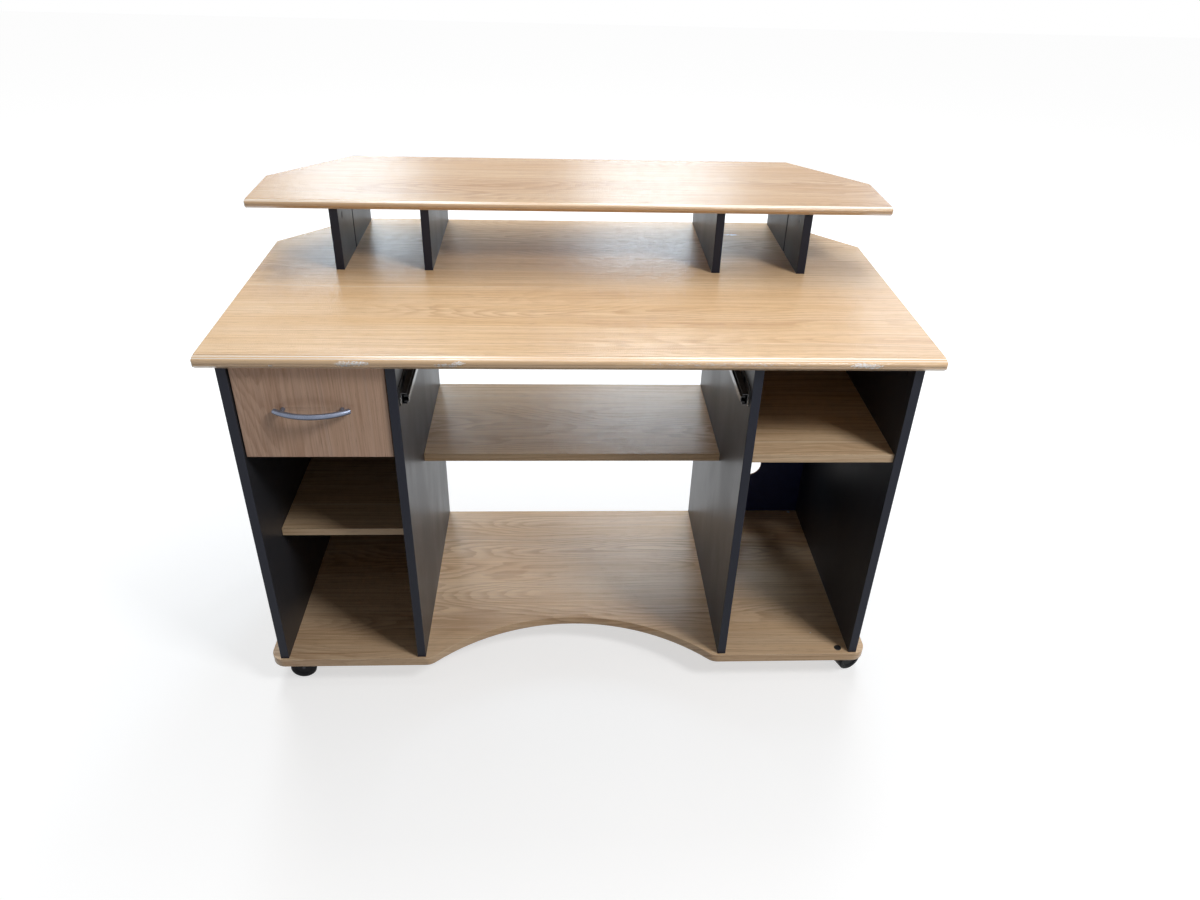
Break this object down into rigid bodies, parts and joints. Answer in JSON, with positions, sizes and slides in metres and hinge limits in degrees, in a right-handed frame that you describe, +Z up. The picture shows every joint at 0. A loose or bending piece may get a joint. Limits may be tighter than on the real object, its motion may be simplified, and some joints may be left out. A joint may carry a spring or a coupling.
{
  "type": "computer desk",
  "caption": "Computer desk on castors with a moulded oak worktop, a riser shelf on supports, charcoal pedestals, a drawer, open shelves and keyboard runners without their tray",
  "frame": {"origin": "on the floor under the middle of the bounding box", "axes": "+X to the right seen from the front, +Y to the rear, +Z up"},
  "size_m": [1.2, 0.684, 0.874],
  "materials": {
    "oak_board": "light oak foil on board, semi-gloss",
    "charcoal_board": "charcoal melamine on board, satin",
    "drawer_board": "foil on board, satin",
    "hardboard": "dark painted hardboard",
    "black_plastic": "black moulded plastic",
    "satin_handle": "satin silver",
    "steel": "zinc plated",
    "white_rail": "white coated sheet steel",
    "roller_plastic": "white moulded plastic",
    "black_runner": "black coated sheet steel",
    "cage_plastic": "moulded plastic",
    "castor_plastic": "black moulded plastic",
    "axle_steel": "plain steel",
    "wheel_plastic": "black moulded plastic"
  },
  "bodies": {
    "desk": {"worktop": "oak_board", "riser_shelf": "oak_board", "riser_support_outer_left": "charcoal_board", "riser_support_inner_left": "charcoal_board", "riser_support_inner_right": "charcoal_board", "riser_support_outer_right": "charcoal_board", "side_panel_left": "charcoal_board", "divider_left": "charcoal_board", "divider_right": "charcoal_board", "side_panel_right": "charcoal_board", "base_board": "oak_board", "base_cap": "black_plastic", "centre_shelf": "oak_board", "left_shelf": "oak_board", "right_shelf": "oak_board", "back_panel_left": "hardboard", "back_panel_right": "hardboard", "cam_locks": "black_plastic", "panel_screws": "steel", "shelf_pins": "steel", "castor_plates": "steel", "drawer_rail_left": "white_rail", "drawer_rail_right": "white_rail", "keyboard_bracket_left": "black_runner", "keyboard_bracket_right": "black_runner", "keyboard_channel_left": "black_runner", "keyboard_channel_right": "black_runner"},
    "drawer": {"drawer_front": "oak_board", "drawer_side_left": "drawer_board", "drawer_side_right": "drawer_board", "drawer_back": "drawer_board", "drawer_bottom": "hardboard", "drawer_handle": "satin_handle", "handle_screws": "steel", "drawer_runner_left": "white_rail", "drawer_runner_right": "white_rail"},
    "rail_roller_left": {"rail_roller_left": "roller_plastic"},
    "runner_roller_left": {"runner_roller_left": "roller_plastic"},
    "rail_roller_right": {"rail_roller_right": "roller_plastic"},
    "runner_roller_right": {"runner_roller_right": "roller_plastic"},
    "keyboard_slide_left": {"keyboard_slide_left": "black_runner"},
    "keyboard_ball_cage_left": {"keyboard_ball_cage_left": "cage_plastic"},
    "keyboard_slide_right": {"keyboard_slide_right": "black_runner"},
    "keyboard_ball_cage_right": {"keyboard_ball_cage_right": "cage_plastic"},
    "castor_front_left": {"castor_hood_front_left": "castor_plastic", "castor_axle_front_left": "axle_steel"},
    "castor_wheel_front_left_fore": {"castor_wheel_front_left_fore": "wheel_plastic"},
    "castor_wheel_front_left_aft": {"castor_wheel_front_left_aft": "wheel_plastic"},
    "castor_front_right": {"castor_hood_front_right": "castor_plastic", "castor_axle_front_right": "axle_steel"},
    "castor_wheel_front_right_fore": {"castor_wheel_front_right_fore": "wheel_plastic"},
    "castor_wheel_front_right_aft": {"castor_wheel_front_right_aft": "wheel_plastic"},
    "castor_rear_left": {"castor_hood_rear_left": "castor_plastic", "castor_axle_rear_left": "axle_steel"},
    "castor_wheel_rear_left_fore": {"castor_wheel_rear_left_fore": "wheel_plastic"},
    "castor_wheel_rear_left_aft": {"castor_wheel_rear_left_aft": "wheel_plastic"},
    "castor_rear_right": {"castor_hood_rear_right": "castor_plastic", "castor_axle_rear_right": "axle_steel"},
    "castor_wheel_rear_right_fore": {"castor_wheel_rear_right_fore": "wheel_plastic"},
    "castor_wheel_rear_right_aft": {"castor_wheel_rear_right_aft": "wheel_plastic"}
  },
  "joints": [
    {"name": "drawer_slide", "type": "slide", "parent": "desk", "child": "drawer", "axis": [0, -1, 0], "range_m": [0, 0.3]},
    {"name": "rail_roller_left_spin", "type": "hinge", "parent": "desk", "child": "rail_roller_left", "pos_m": [-0.5506, -0.2805, 0.5677], "axis": [1, 0, 0], "continuous": true},
    {"name": "runner_roller_left_spin", "type": "hinge", "parent": "drawer", "child": "runner_roller_left", "pos_m": [-0.5506, 0.0935, 0.5677], "axis": [1, 0, 0], "continuous": true},
    {"name": "rail_roller_right_spin", "type": "hinge", "parent": "desk", "child": "rail_roller_right", "pos_m": [-0.3114, -0.2805, 0.5677], "axis": [1, 0, 0], "continuous": true},
    {"name": "runner_roller_right_spin", "type": "hinge", "parent": "drawer", "child": "runner_roller_right", "pos_m": [-0.3114, 0.0935, 0.5677], "axis": [1, 0, 0], "continuous": true},
    {"name": "keyboard_slide_left_run", "type": "slide", "parent": "desk", "child": "keyboard_slide_left", "axis": [0, -1, 0], "range_m": [0, 0.2]},
    {"name": "keyboard_ball_cage_left_run", "type": "slide", "parent": "desk", "child": "keyboard_ball_cage_left", "axis": [0, -1, 0], "range_m": [0, 0.1]},
    {"name": "keyboard_slide_right_run", "type": "slide", "parent": "desk", "child": "keyboard_slide_right", "axis": [0, -1, 0], "range_m": [0, 0.2]},
    {"name": "keyboard_ball_cage_right_run", "type": "slide", "parent": "desk", "child": "keyboard_ball_cage_right", "axis": [0, -1, 0], "range_m": [0, 0.1]},
    {"name": "castor_front_left_swivel", "type": "hinge", "parent": "desk", "child": "castor_front_left", "pos_m": [-0.5565, -0.275, 0.052], "axis": [0, 0, 1], "continuous": true},
    {"name": "castor_wheel_front_left_fore_spin", "type": "hinge", "parent": "castor_front_left", "child": "castor_wheel_front_left_fore", "pos_m": [-0.54138, -0.28497, 0.025], "axis": [-0.1045, 0.9945, 0], "continuous": true},
    {"name": "castor_wheel_front_left_aft_spin", "type": "hinge", "parent": "castor_front_left", "child": "castor_wheel_front_left_aft", "pos_m": [-0.54378, -0.2621, 0.025], "axis": [-0.1045, 0.9945, 0], "continuous": true},
    {"name": "castor_front_right_swivel", "type": "hinge", "parent": "desk", "child": "castor_front_right", "pos_m": [0.5565, -0.275, 0.052], "axis": [0, 0, 1], "continuous": true},
    {"name": "castor_wheel_front_right_fore_spin", "type": "hinge", "parent": "castor_front_right", "child": "castor_wheel_front_right_fore", "pos_m": [0.57388, -0.28012, 0.025], "axis": [-0.3907, 0.9205, 0], "continuous": true},
    {"name": "castor_wheel_front_right_aft_spin", "type": "hinge", "parent": "castor_front_right", "child": "castor_wheel_front_right_aft", "pos_m": [0.56489, -0.25894, 0.025], "axis": [-0.3907, 0.9205, 0], "continuous": true},
    {"name": "castor_rear_left_swivel", "type": "hinge", "parent": "desk", "child": "castor_rear_left", "pos_m": [-0.5565, 0.1195, 0.052], "axis": [0, 0, 1], "continuous": true},
    {"name": "castor_wheel_rear_left_fore_spin", "type": "hinge", "parent": "castor_rear_left", "child": "castor_wheel_rear_left_fore", "pos_m": [-0.54013, 0.11173, 0.025], "axis": [-0.2419, 0.9703, 0], "continuous": true},
    {"name": "castor_wheel_rear_left_aft_spin", "type": "hinge", "parent": "castor_rear_left", "child": "castor_wheel_rear_left_aft", "pos_m": [-0.5457, 0.13404, 0.025], "axis": [-0.2419, 0.9703, 0], "continuous": true},
    {"name": "castor_rear_right_swivel", "type": "hinge", "parent": "desk", "child": "castor_rear_right", "pos_m": [0.5565, 0.1195, 0.052], "axis": [0, 0, 1], "continuous": true},
    {"name": "castor_wheel_rear_right_fore_spin", "type": "hinge", "parent": "castor_rear_right", "child": "castor_wheel_rear_right_fore", "pos_m": [0.57213, 0.11033, 0.025], "axis": [-0.1564, 0.9877, 0], "continuous": true},
    {"name": "castor_wheel_rear_right_aft_spin", "type": "hinge", "parent": "castor_rear_right", "child": "castor_wheel_rear_right_aft", "pos_m": [0.56853, 0.13305, 0.025], "axis": [-0.1564, 0.9877, 0], "continuous": true}
  ],
  "couplings": [
    {"joint": "rail_roller_left_spin", "follows": "drawer_slide", "rad_per_m": 111.11},
    {"joint": "runner_roller_left_spin", "follows": "drawer_slide", "rad_per_m": 111.11},
    {"joint": "rail_roller_right_spin", "follows": "drawer_slide", "rad_per_m": 111.11},
    {"joint": "runner_roller_right_spin", "follows": "drawer_slide", "rad_per_m": 111.11},
    {"joint": "keyboard_ball_cage_left_run", "follows": "keyboard_slide_left_run", "ratio": 0.5},
    {"joint": "keyboard_ball_cage_right_run", "follows": "keyboard_slide_right_run", "ratio": 0.5}
  ]
}
